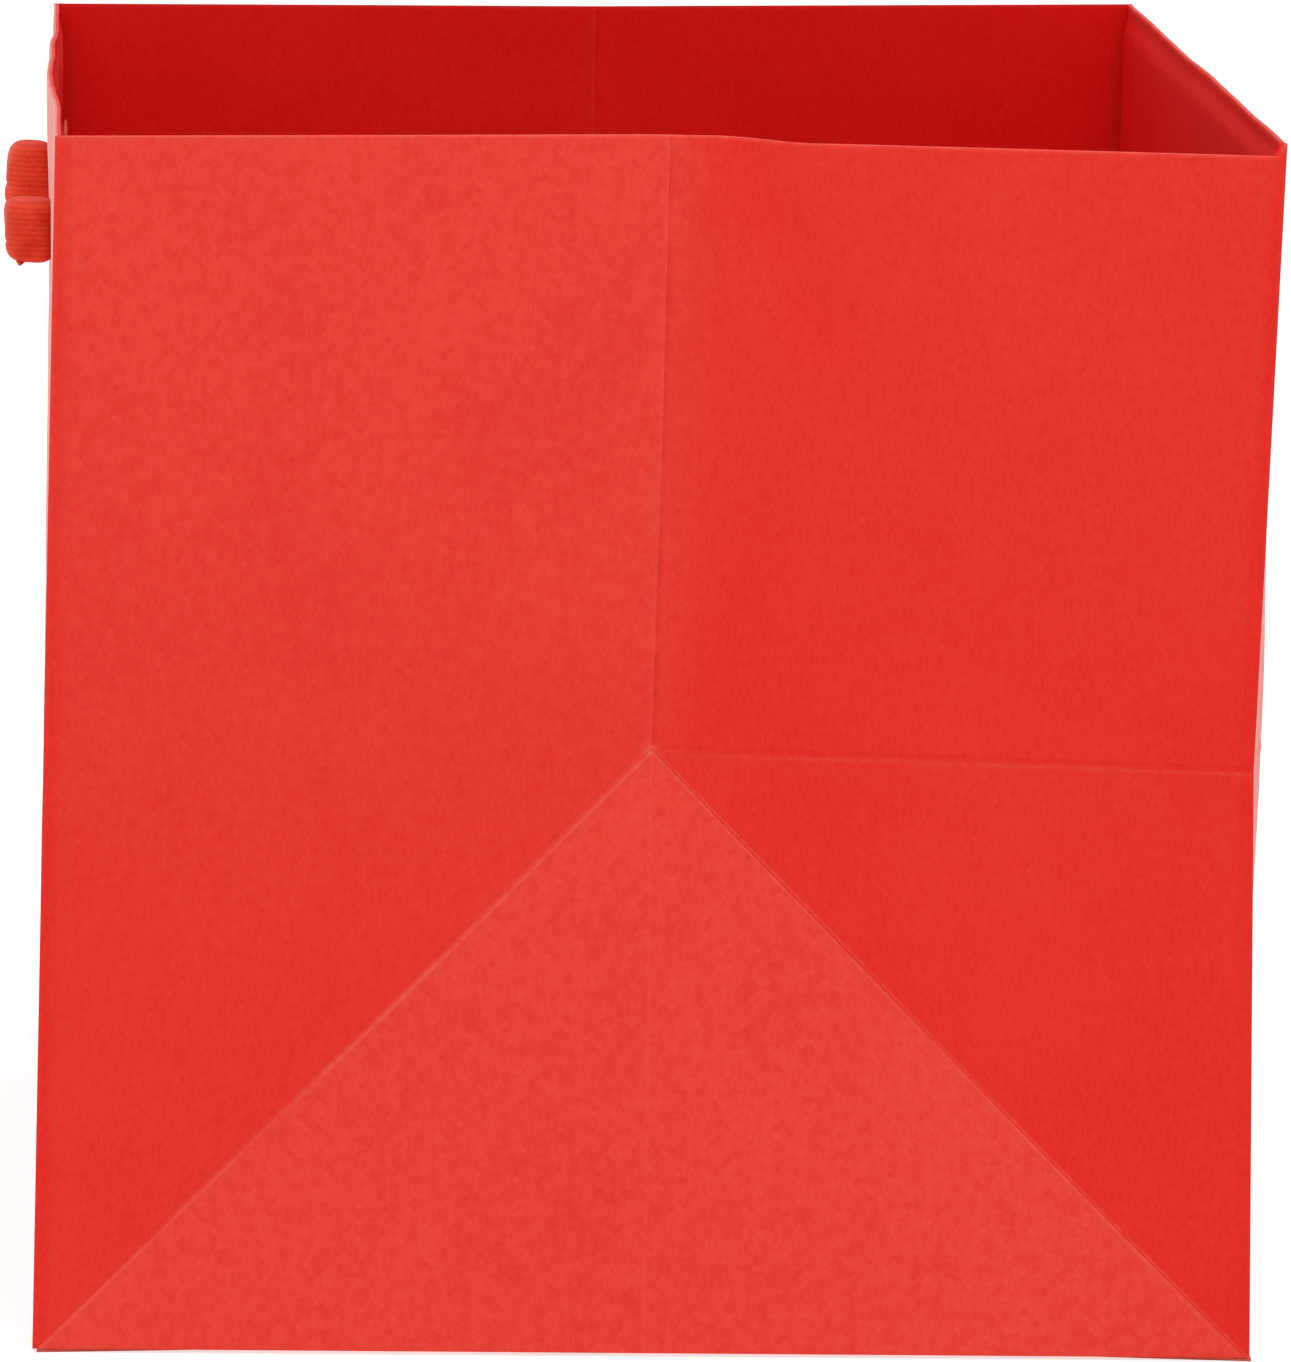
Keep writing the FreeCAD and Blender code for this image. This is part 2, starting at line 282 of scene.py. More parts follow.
def gusset_tone(side, a, b):
    """Scuffed pale lines and painted highlights along a gusset's folds and rim, painted shade lines in its
    creases, and painted light and shade over its facets.
    """
    front = crease_distances(a, b)[0]
    faint = np.hypot(a, np.maximum(b - APEX, 0))
    below = np.abs(a) + b - APEX
    # Scuffed pale lines along the folds, partly painted highlight, a pale spot at the apex, and a painted
    # highlight along the rim.
    wear_and_highlight = (
        0.34 * bell(front, 0.1 * MM, 0.12 * MM) * smooth(b, 0, 30 * MM)
        + 0.6 * bell(below * (a < 0) - (a >= 0), -0.45 * MM, 0.15 * MM)
        + 0.5 * bell(below * (a > 0) - (a <= 0), -0.3 * MM, 0.14 * MM)
        + 0.4 * bell(below * (a > 0) - (a <= 0), 0.35 * MM, 0.12 * MM)
        + 0.42 * bell(a, -0.2 * MM, 0.14 * MM) * smooth(b, APEX - MM, APEX + MM)
        + 0.5 * bell(a, 0.6 * MM, 0.14 * MM) * smooth(b, APEX, HEIGHT - 20 * MM)
        + 0.2 * bell(b, APEX - 0.6 * MM, 0.22 * MM) * (a > MM)
        + 0.5 * bell(np.hypot(a + 0.3 * MM, b - APEX), 0, 0.7 * MM)
        + 0.12 * bell(faint, 0, 0.25 * MM)
        + 0.4 * bell(b, HEIGHT, 0.25 * MM)
    )
    triangle = smooth(-below, -0.2 * MM, 0.2 * MM)
    corner = (a > 0) * (1 - triangle) * (1 - smooth(b, APEX - 1.2 * MM, APEX))
    # Painted light and shade over the facets, as light from above falls on them: the bottom triangle
    # lighter, most on its right; the upper facets lighter towards the top and on the left; the corner
    # triangle and the right of the centre crease darker; and a darker band close to each side edge.
    painted_shading = 0.34 + 0.75 * triangle - 0.27 * corner + 0.5 * smooth(b, 20 * MM, HEIGHT) * (1 - triangle)
    painted_shading = painted_shading + 0.15 * smooth(b, 50 * MM, 100 * MM) * (a < 0) * (1 - triangle)
    painted_shading = painted_shading - 0.4 * smooth(a, 0, 8 * MM) * (1 - triangle) * (1 - corner)
    painted_shading = painted_shading + 0.14 * bell(a, 45 * MM, 20 * MM) * triangle
    painted_shading = painted_shading - 0.5 * bell(HALF_Y - np.abs(a), 0.9 * MM, 0.7 * MM)
    # Painted shade in the creases: dark lines along the centre crease above the apex, along both diagonal
    # folds, and along the level fold on the rear facets.
    dark = 0.75 * bell(a, 0.2 * MM, 0.22 * MM) * smooth(b, APEX - MM, APEX + MM)
    dark = dark + 0.5 * bell(below, 0.0, 0.12 * MM)
    dark = dark + 0.6 * bell(b, APEX + 0.25 * MM, 0.2 * MM) * (a > MM)
    if side == "right":
        # Painted shade over the dent below the rim of the right gusset.
        dent = segment_distance(a, b, (9 * MM, HEIGHT), (20 * MM, HEIGHT - 24 * MM))
        painted_shading = painted_shading - 0.2 * bell(dent, 0, 4.2 * MM) * smooth(b, HEIGHT - 34 * MM, HEIGHT - 18 * MM)
    return {"wear_and_highlight": np.clip(wear_and_highlight, 0, 1), "painted_shading": np.clip(painted_shading, 0, 1.6), "dark": np.clip(dark, 0, 1)}


def panel_tone(side, a, b, inner):
    """Scuffed pale lines along a panel's side edges, the back panel's level fold and, inside, its seam; a
    painted highlight along the rim; and painted light that grows towards the top.
    """
    # A painted highlight along the rim, and scuffed pale lines along the side edges.
    wear_and_highlight = 1.6 * bell(b, HEIGHT, 0.4 * MM) + 0.3 * bell(HALF_X - np.abs(a), 0, 0.3 * MM)
    if side == "back":
        wear_and_highlight = wear_and_highlight + 0.5 * bell(b, APEX, 0.3 * MM)
    if side == "back" and inner:
        wear_and_highlight = wear_and_highlight + 0.5 * bell(a, SEAM_EDGE_X, 0.3 * MM)
    # Painted light, lighter towards the top.
    painted_shading = 0.35 + 0.25 * smooth(b, 60 * MM, HEIGHT) + 0 * a
    return {"wear_and_highlight": np.clip(wear_and_highlight, 0, 1), "painted_shading": painted_shading, "dark": 0 * a}


def mouth_hem_sheet(name, wall, edge):
    """The turned-in top of a long panel: up inside the card and over its top to the panel."""
    rise = np.linspace(0, 1, 40)
    low = HEM_LOW + (HEIGHT - PAPER - HEM_LOW) * np.sin(rise * math.pi / 2)
    over = np.linspace(0, 1, 12)[1:]
    across = (lines(84) * 2 - 1) * edge
    if wall == "back":
        across = np.sort(np.concatenate([across, SEAM_EDGE_X + np.linspace(-0.6, 0.6, 7) * MM]))
    a = np.repeat(across[:, None], len(low) + len(over), 1)
    closing = smooth(low, HEIGHT - HEM_CLOSES[0], HEIGHT - HEM_CLOSES[1])
    thick = PAPER + CARD * (1 - closing) + LAYER_GAP
    turn = over * math.pi / 2
    bend = np.minimum(over * 2, 1) * math.pi / 2
    shut = PAPER + 2 * LAYER_GAP
    outer_depth = np.concatenate([thick + PAPER, shut + PAPER * np.cos(turn)])
    outer_b = np.concatenate([low, HEIGHT - PAPER + PAPER * np.sin(bend)])
    inner_depth = np.concatenate([thick, np.full(len(over), shut) - LAYER_GAP * over])
    inner_b = np.concatenate([low, HEIGHT - PAPER + 0.2 * PAPER * np.sin(turn)])
    outer_b, outer_depth, inner_b, inner_depth = (
        np.tile(row, (len(a), 1)) for row in (outer_b, outer_depth, inner_b, inner_depth)
    )
    outer = wall_point(wall, a, outer_b, outer_depth)
    inner = wall_point(wall, a, inner_b, inner_depth)
    return slab(name, outer, inner, panel_tone(wall, a, outer_b, inner=True))


def wall_sheet(name, wall, corners, depths, counts, stops=((0, 1), (0, 1))):
    """One sheet of a wall: corners in its (a, b) plane, and the depths of its two faces."""
    a, b = spread(corners, lines(counts[0], stops[0]), lines(counts[1], stops[1]))
    tone = gusset_tone(wall, a, b) if wall in RIM_PUSH else panel_tone(wall, a, b, depths[0] > 0)
    return slab(name, wall_point(wall, a, b, depths[0]), wall_point(wall, a, b, depths[1]), tone)


def finished(piece, node, body, material, flatten=None):
    """Gives a piece its material and body, and puts it in the place of its CAD node."""
    piece.data.materials.append(material)
    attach(piece, body)
    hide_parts(node)
    if flatten:
        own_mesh(piece)
    return piece


# ---------------------------------------------------------------- materials
class Nodes:
    """Short calls for building a node material round a Principled shader."""

    def __init__(self, name):
        self.material = bpy.data.materials.new(name)
        self.material.use_nodes = True
        self.tree = self.material.node_tree
        self.shader = self.tree.nodes["Principled BSDF"]
        self.place = self.add("ShaderNodeTexCoord").outputs["Object"]

    def add(self, kind, **settings):
        node = self.tree.nodes.new(kind)
        for key, value in settings.items():
            setattr(node, key, value)
        return node

    def link(self, source, target):
        if isinstance(source, (int, float)):
            target.default_value = source
        elif isinstance(source, tuple):
            target.default_value = (*source, 1) if len(target.default_value) == 4 else source
        else:
            self.tree.links.new(source, target)

    def math(self, operation, first, second=0.0, clamp=False):
        node = self.add("ShaderNodeMath", operation=operation, use_clamp=clamp)
        self.link(first, node.inputs[0])
        self.link(second, node.inputs[1])
        return node.outputs[0]

    def stretch(self, scale):
        node = self.add("ShaderNodeMapping")
        self.link(self.place, node.inputs["Vector"])
        node.inputs["Scale"].default_value = scale
        return node.outputs[0]

    def noise(self, scale, detail=3.0, roughness=0.5, place=None):
        node = self.add("ShaderNodeTexNoise")
        self.link(place or self.place, node.inputs["Vector"])
        for key, value in (("Scale", scale), ("Detail", detail), ("Roughness", roughness)):
            node.inputs[key].default_value = value
        return node.outputs["Fac"]

    def ramp(self, value, low, high, to_low=0.0, to_high=1.0):
        node = self.add("ShaderNodeMapRange", interpolation_type="SMOOTHSTEP")
        self.link(value, node.inputs["Value"])
        for index, number in enumerate((low, high, to_low, to_high)):
            node.inputs[index + 1].default_value = number
        return node.outputs[0]

    def mix(self, share, first, second):
        node = self.add("ShaderNodeMix", data_type="RGBA")
        self.link(share, node.inputs["Factor"])
        self.link(first, node.inputs[6])
        self.link(second, node.inputs[7])
        return node.outputs[2]

    def attribute(self, name):
        return self.add("ShaderNodeAttribute", attribute_name=name).outputs["Fac"]

    def specks(self, spacing, size, keep):
        """Tiny flecks: one in some of the cells of a pattern spacing metres apart."""
        cells = self.add("ShaderNodeTexVoronoi")
        self.link(self.place, cells.inputs["Vector"])
        cells.inputs["Scale"].default_value = 1 / spacing
        near = self.ramp(cells.outputs["Distance"], size / spacing * 0.5, size / spacing, 1.0, 0.0)
        chosen = self.math("GREATER_THAN", cells.outputs["Color"], 1 - keep)
        return self.math("MULTIPLY", near, chosen)

    def bump(self, height, distance, strength=1.0, below=None):
        node = self.add("ShaderNodeBump")
        self.link(height, node.inputs["Height"])
        node.inputs["Distance"].default_value = distance
        node.inputs["Strength"].default_value = strength
        if below:
            self.link(below, node.inputs["Normal"])
        return node.outputs[0]

    def finish(self, colour, roughness, normal, **settings):
        self.link(colour, self.shader.inputs["Base Color"])
        self.link(roughness, self.shader.inputs["Roughness"])
        self.link(normal, self.shader.inputs["Normal"])
        for key, value in settings.items():
            self.link(value, self.shader.inputs[key.replace("_", " ").title().replace("Ior", "IOR")])
        return self.material


def paper_material(name, deep, pale, worn_and_lit, painted_shading_share, gloss=0.28, sheen=0.5):
    """Uncoated dyed paper: felt mottling, flecks and scuffed pale folds, with painted light and shade:
    facets painted lighter and darker, painted shade lines in creases, and painted highlights along folds
    and rim.
    """
    n = Nodes(name)
    cloud = n.noise(55, 2, 0.5)
    felt = n.noise(650, 5, 0.75)
    fibre = n.noise(2400, 3, 0.6, n.stretch((1.0, 1.0, 0.45)))
    tone = n.math("ADD", n.math("MULTIPLY", felt, 0.45), n.math("MULTIPLY", fibre, 0.65))
    tone = n.math("ADD", tone, n.math("MULTIPLY", cloud, 0.35))
    colour = n.mix(n.ramp(tone, 0.5, 0.95), deep, pale)
    # Painted light and shade over the facets, mixed towards the pale colour.
    painted_shading = n.math("MULTIPLY", n.attribute("painted_shading"), painted_shading_share)
    painted_shading = n.math("MULTIPLY", painted_shading, n.ramp(felt, 0.3, 0.7, 0.65, 1.35))
    colour = n.mix(painted_shading, colour, worn_and_lit)
    # Painted shade in the creases: a darker red along the lines of the dark attribute.
    shadow = n.math("MULTIPLY", n.attribute("dark"), n.ramp(n.noise(380, 3, 0.6), 0.3, 0.65, 0.3, 1.0))
    colour = n.mix(shadow, colour, (0.56, 0.004, 0.003))
    # Scuffed pale folds, with painted highlights along folds and rim, mixed towards the pale colour.
    pale_marks = n.math("MULTIPLY", n.attribute("wear_and_highlight"), n.ramp(n.noise(700, 4, 0.7), 0.25, 0.7, 0.15, 0.75))
    colour = n.mix(pale_marks, colour, worn_and_lit)
    colour = n.mix(n.math("MULTIPLY", n.specks(0.021, 0.00016, 0.4), 0.4), colour, (0.9, 0.45, 0.38))
    rough = n.ramp(felt, 0.3, 0.7, 0.56, 0.7)
    grain = n.bump(fibre, 0.00006, 0.45)
    normal = n.bump(felt, 0.00012, 0.35, grain)
    return n.finish(
        colour, rough, normal, specular_ior_level=gloss, specular_tint=(1.0, 0.92, 0.72),
        sheen_weight=sheen, sheen_roughness=0.22, sheen_tint=(1.0, 0.9, 0.82),
    )


def card_material():
    """Grey recycled board with dark and light fibres."""
    n = Nodes("grey_board")
    pulp = n.noise(420, 6, 0.75)
    fibre = n.noise(1500, 3, 0.6, n.stretch((0.35, 1.0, 1.0)))
    colour = n.mix(n.ramp(pulp, 0.3, 0.7), (0.31, 0.285, 0.24), (0.52, 0.49, 0.42))
    colour = n.mix(n.math("MULTIPLY", n.ramp(fibre, 0.6, 0.75), 0.5), colour, (0.66, 0.62, 0.54))
    colour = n.mix(n.math("MULTIPLY", n.specks(0.006, 0.00035, 0.5), 0.6), colour, (0.12, 0.1, 0.09))
    normal = n.bump(pulp, 0.0002, 0.5, n.bump(fibre, 0.0001, 0.4))
    return n.finish(colour, n.ramp(pulp, 0.3, 0.7, 0.75, 0.92), normal, sheen_weight=0.05)


def ribbon_material():
    """Dyed grosgrain: fine threads along the ribbon, and painted shade in the valleys between its ribs."""
    n = Nodes("red_grosgrain")
    thread = n.noise(3200, 2, 0.5)
    patch = n.noise(260, 3, 0.6)
    rib = n.attribute("rib")
    colour = n.mix(n.ramp(patch, 0.3, 0.7), (0.66, 0.036, 0.011), (0.76, 0.062, 0.022))
    # Painted shade: darker red in the valleys between the ribs.
    colour = n.mix(n.ramp(rib, 0.0, 0.7, 0.3, 0.0), colour, (0.4, 0.008, 0.003))
    colour = n.mix(n.math("MULTIPLY", n.ramp(thread, 0.55, 0.75), 0.35), colour, (0.85, 0.17, 0.09))
    normal = n.bump(thread, 0.00012, 0.6)
    return n.finish(
        colour, n.ramp(thread, 0.3, 0.7, 0.6, 0.8), normal, sheen_weight=0.07,
        sheen_roughness=0.4, sheen_tint=(1.0, 0.6, 0.5), specular_ior_level=0.2,
    )


RED_PAPER = paper_material(
    "red_paper", (0.655, 0.004, 0.003), (0.70, 0.016, 0.010), (0.80, 0.16, 0.115), 0.15
)
TURNED_IN_PAPER = paper_material(
    "red_paper_turned_in", (0.69, 0.006, 0.005), (0.73, 0.011, 0.009), (0.80, 0.10, 0.08), 0.03, 0.04, 0.0
)
# A darker brownish red for the bottom flaps.
DARK_BASE_PAPER = paper_material(
    "red_paper_dark_base", (0.45, 0.05, 0.03), (0.52, 0.07, 0.045), (0.6, 0.2, 0.13), 0.2
)
BOARD_CARD = card_material()
GROSGRAIN = ribbon_material()


# ---------------------------------------------------------------- walls
def flat_x(side):
    """How a gusset facet's relief is to be pressed flat as it folds: axis, plane point and kept share.
    Nothing in this script applies it.
    """
    sign = 1 if side == "right" else -1
    return "fold_flat", (1, 0, 0), (sign * (HALF_X - PAPER), 0, 0), GUSSET_KEEP


def flat_y(side):
    """How a panel's bulge is to be pressed flat as the bag folds: axis, plane point and kept share. Nothing
    in this script applies it.
    """
    sign = 1 if side == "back" else -1
    return "fold_flat", (0, 1, 0), (0, sign * (HALF_Y - PAPER), 0), PANEL_KEEP


FOLD_LOW = (0, APEX)
GUSSET_FACETS = {
    "front_fold": ("front", ((-HALF_Y, FOOT), FOLD_LOW, (0, HEIGHT), (-HALF_Y, HEIGHT))),
    "rear_fold": ("rear", (FOLD_LOW, (HALF_Y, APEX), (HALF_Y, HEIGHT), (0, HEIGHT))),
    "bottom_triangle": ("base", ((-HALF_Y, FOOT), (HALF_Y, FOOT), FOLD_LOW, FOLD_LOW)),
    "corner_triangle": ("base", (FOLD_LOW, (HALF_Y, FOOT), (HALF_Y, APEX), (HALF_Y, APEX))),
}
GUSSET_HEMS = {
    "front_hem": ("front", ((-HALF_Y, HEM_LOW), (0, HEM_LOW), (0, HEIGHT), (-HALF_Y, HEIGHT))),
    "rear_hem": ("rear", ((0, HEM_LOW), (HALF_Y, HEM_LOW), (HALF_Y, HEIGHT), (0, HEIGHT))),
}


def make_gusset(side):
    """The four facets of one gusset and the two halves of the hem behind its rim."""
    for name, (part, corners) in GUSSET_FACETS.items():
        node = f"gusset_{side}_{name}"
        stops = ((0, 0.5, 1), (0, 1)) if name == "bottom_triangle" else ((0, 1), (0, 1))
        piece = wall_sheet(f"{node}_paper", side, corners, (0, PAPER), (44, 52), stops)
        if name == "corner_triangle":
            slope = (0, math.sqrt(0.5), math.sqrt(0.5))
            press = ("fold_flat", slope, (0, 0, APEX), CORNER_KEEP)
        else:
            press = flat_x(side)
        finished(piece, node, f"gusset_{side}_{part}", RED_PAPER, press)
    inner = PAPER + LAYER_GAP
    for name, (part, corners) in GUSSET_HEMS.items():
        node = f"gusset_{side}_{name}"
        piece = wall_sheet(f"{node}_paper", side, corners, (inner, inner + PAPER), (44, 24))
        press = flat_x(side)
        finished(piece, node, f"gusset_{side}_{part}", TURNED_IN_PAPER, press)


def panel_corners(low, high, inset=0.0):
    """The outline of a stretch of a long panel."""
    edge = HALF_X - inset
    return (-edge, low), (edge, low), (edge, high), (-edge, high)


def make_panels():
    """The long panels with their hems, stiffening cards and the glue flap."""
    sheets = {
        "front_panel": ("front", "front", FOOT, HEIGHT),
        "back_panel_lower": ("back", "back_lower", FOOT, APEX),
        "back_panel_upper": ("back", "back_upper", APEX, HEIGHT),
    }
    for node, (wall, body, low, high) in sheets.items():
        corners = panel_corners(low, high)
        piece = wall_sheet(f"{node}_paper", wall, corners, (0, PAPER), (84, 48))
        finished(piece, node, body, RED_PAPER, flat_y(wall))
    for wall, body in (("front", "front"), ("back", "back_upper")):
        node = f"{wall}_hem"
        piece = mouth_hem_sheet(f"{node}_paper", wall, HALF_X - HEM_INSET)
        finished(piece, node, body, TURNED_IN_PAPER, flat_y(wall))
        node = f"{wall}_mouth_card"
        corners = panel_corners(HEM_LOW + MM, HEIGHT - CARD_TOP, CARD_INSET)
        depths = (PAPER + LAYER_GAP / 2, PAPER + CARD)
        piece = wall_sheet(f"{node}_board", wall, corners, depths, (60, 16))
        finished(piece, node, body, BOARD_CARD, flat_y(wall))
    for level, body in (("lower", "back_lower"), ("upper", "back_upper")):
        node = f"seam_flap_{level}"
        low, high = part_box(node)
        corners = ((low.x, low.z), (high.x, low.z), (high.x, high.z), (low.x, high.z))
        depths = (PAPER + LAYER_GAP, 2 * PAPER)
        piece = wall_sheet(f"{node}_paper", "back", corners, depths, (20, 40))
        finished(piece, node, body, RED_PAPER, flat_y("back"))


# ---------------------------------------------------------------- base
def flat_tone(a, edges):
    """Even scuffing for a sheet that lies flat, a little more along its edges, and one even level of
    painted light.
    """
    pale_marks = 0.35 * np.clip(1 - edges / (0.4 * MM), 0, 1)
    return {"wear_and_highlight": pale_marks, "painted_shading": 0.35 + 0 * a, "dark": 0 * a}


def make_base():
    """The glued flaps that the bag stands on, the tucked gusset ends and the loose board."""
    narrow = HALF_X - 10 * MM
    overlap = -FLAP_LOW.y
    ramp = -overlap - 2.2 * MM
    for side, sign in (("back", 1), ("front", -1)):
        corners = ((-HALF_X, sign * HALF_Y), (HALF_X, sign * HALF_Y),
                   (narrow, -sign * overlap), (-narrow, -sign * overlap))
        x, y = spread(corners, lines(60), lines(60, (0, (HALF_Y - 17 * MM) / (HALF_Y + overlap), 1)))
        low = PAPER * smooth(y, ramp, -overlap - 0.2 * MM) if side == "front" else 0 * y
        edges = np.minimum(narrow - np.abs(x), 9 * MM)
        upper = np.stack([x, y, low + PAPER], -1)
        lower = np.stack([x, y, low], -1)
        piece = slab(f"bottom_flap_{side}_paper", upper, lower, flat_tone(x, np.abs(edges)))
        finished(piece, f"bottom_flap_{side}", "base", DARK_BASE_PAPER)
    for side, sign in (("right", 1), ("left", -1)):
        wide = TUCK_HIGH.y
        short = wide - (TUCK_HIGH.x - TUCK_LOW.x)
        corners = ((sign * TUCK_HIGH.x, -wide), (sign * TUCK_HIGH.x, wide),
                   (sign * TUCK_LOW.x, short), (sign * TUCK_LOW.x, -short))
        x, y = spread(corners, lines(40), lines(30))
        upper = np.stack([x, y, 0 * x + TUCK_HIGH.z], -1)
        lower = np.stack([x, y, 0 * x + TUCK_LOW.z], -1)
        tone = flat_tone(x, 0 * x + MM)
        piece = slab(f"bottom_tuck_{side}_paper", upper, lower, tone)
        finished(piece, f"bottom_tuck_{side}", "base", RED_PAPER)
    corners = ((BOARD_LOW.x, BOARD_LOW.y), (BOARD_HIGH.x, BOARD_LOW.y),
               (BOARD_HIGH.x, BOARD_HIGH.y), (BOARD_LOW.x, BOARD_HIGH.y))
    x, y = spread(corners, lines(70), lines(60))
    from_edge = np.minimum(BOARD_HIGH.x - np.abs(x), BOARD_HIGH.y - np.abs(y))
    crush = 0.18 * MM * np.clip(1 - from_edge / (0.5 * MM), 0, 1) ** 2
    upper = np.stack([x, y, BOARD_HIGH.z - crush - 0.03 * MM * (1 + waves(x, y))], -1)
    lower = np.stack([x, y, BOARD_LOW.z + crush * 0.6], -1)
    piece = slab("bottom_board_card", upper, lower)
    finished(piece, "bottom_board", "board", BOARD_CARD)


# ---------------------------------------------------------------- ribbons
RIB_PITCH = 0.8 * MM
KNOT_RIB_PITCH = 0.66 * MM
STRAP = STRAP_HIGH.y - STRAP_LOW.y
STRAP_WIDTH = 10 * MM
LOOP_RADIUS = 13 * MM


def strap(name, centre, across, widths, thickness, columns=14, notch=0.0):
    """A flat ribbed ribbon along centre; across gives the way its width runs at each point.
    notch is how deep its far end is cut into a swallow tail."""
    along = np.gradient(centre, axis=0)
    along /= np.linalg.norm(along, axis=1)[:, None]
    face = np.cross(along, across)
    face /= np.linalg.norm(face, axis=1)[:, None]
    length = np.concatenate([[0], np.cumsum(np.linalg.norm(np.diff(centre, axis=0), axis=1))])
    rib = 0.5 + 0.5 * np.cos(2 * math.pi * length / RIB_PITCH)
    s = np.linspace(-1, 1, columns)
    round_edge = np.sqrt(np.clip(1 - np.abs(s) ** 8, 0.03, 1))
    half = (thickness * (0.32 + 0.18 * rib))[:, None] * round_edge[None, :]
    width = (widths / 2 * (0.985 + 0.015 * rib))[:, None] * s[None, :]
    middle = centre[:, None, :] + across[:, None, :] * width[..., None]
    cut = notch * smooth(length / length[-1], 0.6, 1)[:, None] * (1 - np.abs(s))[None, :]
    middle = middle - along[:, None, :] * cut[..., None]
    outer = middle + face[:, None, :] * half[..., None]
    inner = middle - face[:, None, :] * half[..., None]
    return slab(name, outer, inner, {"rib": np.repeat(rib[:, None], columns, 1)})


def handle_path(sign, steps_per_rib=5):
    """Centre line of one handle in its own plane: down a leg, round the bottom and up again."""
    radius = LOOP_RADIUS
    centre_z = STRAP_LOW.z + STRAP_WIDTH / 2 + radius
    rise = HOLE_Z - centre_z
    reach = math.hypot(HOLE_X, rise)
    lean = math.atan2(rise, HOLE_X) - math.acos(radius / reach)
    leg = math.sqrt(reach ** 2 - radius ** 2)
    sweep = math.pi + 2 * lean
    total = 2 * leg + radius * sweep
    s = np.linspace(0, total, int(total / RIB_PITCH * steps_per_rib))
    angle = lean - np.clip((s - leg) / radius, 0, sweep)
    along = np.where(s < leg, leg - s, np.where(s > total - leg, leg - (total - s), 0))
    side = np.where(s < total / 2, 1.0, -1.0)
    turn = np.where(s < leg, lean, np.where(s > total - leg, math.pi - lean, angle))
    turn = np.where((s >= leg) & (s <= total - leg), angle, turn)
    x = radius * np.cos(turn) - side * along * math.sin(lean)
    z = centre_z + radius * np.sin(turn) + along * math.cos(lean)
    y = np.full_like(s, sign * (STRAP_LOW.y + STRAP_HIGH.y) / 2)
    outward = np.stack([np.cos(turn), 0 * s, np.sin(turn)], -1)
    return np.stack([x, y, z], -1), outward, s / total


def make_handle(name, sign):
    """The ribbon loop of one side, narrower where it goes into its two holes."""
    centre, across, share = handle_path(sign)
    ends = np.minimum(share, 1 - share)
    widths = STRAP_WIDTH * (0.62 + 0.38 * smooth(ends, 0.0, 0.07))
    piece = strap(f"{name}_handle_grosgrain", centre, across, widths, STRAP)
    finished(piece, f"{name}_handle_ribbon", f"{name}_handle", GROSGRAIN)


def knot_body(centre, sign, size, reach_out, fuller):
    """A tied lump of ribbed ribbon, flat-topped and round-cornered; fuller is 1 for a wider top."""
    width, rise, drop = size
    proud = reach_out + KNOT_SUNK
    levels, around = 110, 64
    z = np.sin(np.linspace(-math.pi / 2, math.pi / 2, levels))
    angle = np.linspace(0, 2 * math.pi, around, endpoint=False)
    z, angle = np.meshgrid(z, angle, indexing="ij")
    taper = np.clip(1 - np.abs(z) ** 6, 0.0, 1) ** 0.34
    c, s = np.cos(angle), np.sin(angle)
    corner = (np.abs(c) ** 3.4 + np.abs(s) ** 3.4) ** (-1 / 3.4)
    level = z * np.where(z > 0, rise, drop)
    phase = 2 * math.pi * level / KNOT_RIB_PITCH + 0.7 * np.cos(angle + 0.6) + 0.5 * np.sin(2 * angle)
    rib = (0.5 + 0.5 * np.cos(phase)) * (0.75 + 0.25 * np.sin(3 * angle + 5 * z))
    waist = 1 - 0.05 * bell(z, -0.25, 0.1) + 0.03 * np.sin(3 * angle + 2 * z)
    lean = 1 + 0.05 * fuller * z - 0.16 * np.clip(-fuller * z, 0, 1) ** 2
    reach = corner * taper * waist
    ribbing = 0.04 * MM * rib * np.minimum(1, taper * 2)
    x = (width / 2 * reach + ribbing) * c
    y = (proud / 2 * reach * lean + ribbing) * s
    points = np.stack([x, sign * (y + proud / 2 - KNOT_SUNK), level + 0.04 * y], -1) + np.array(centre)
    at = np.arange(levels * around).reshape(levels, around)
    right = np.roll(at, -1, axis=1)
    quads = np.stack([at[:-1], right[:-1], right[1:], at[1:]], -1).reshape(-1, 4).tolist()
    quads += [at[0, ::-1].tolist(), at[-1].tolist()]
    return points.reshape(-1, 3), quads, rib.ravel()


def join(name, parts):
    """One mesh from several closed parts, keeping their rib values."""
    bpy.ops.object.select_all(action="DESELECT")
    for part in parts:
        part.select_set(True)
    bpy.context.view_layer.objects.active = parts[0]
    bpy.ops.object.join()
    parts[0].name = name
    return parts[0]


# Width, height above and height below the middle of each tied knot, and its reach from the panel.
KNOT_SIZE = {"left": (10.4 * MM, 4.6 * MM, 4.5 * MM), "right": (10.4 * MM, 4.6 * MM, 3.5 * MM)}
KNOT_REACH = {"front": {"left": 6.1 * MM, "right": 5.8 * MM}, "back": {"left": 5.2 * MM, "right": 5.2 * MM}}
KNOT_SUNK = 0.9 * MM
KNOT_CENTRE = {"left": HOLE_Z - 1.7 * MM, "right": HOLE_Z - 0.7 * MM}
# How far the ribbon's bend inside rises over its hole. A tall bend is pinched nearly shut.
BEND_RISE = {("front", "right"): 11.6 * MM, ("back", "right"): 3.8 * MM}
USUAL_RISE = 2.6 * MM
TALL_RISE = 5 * MM


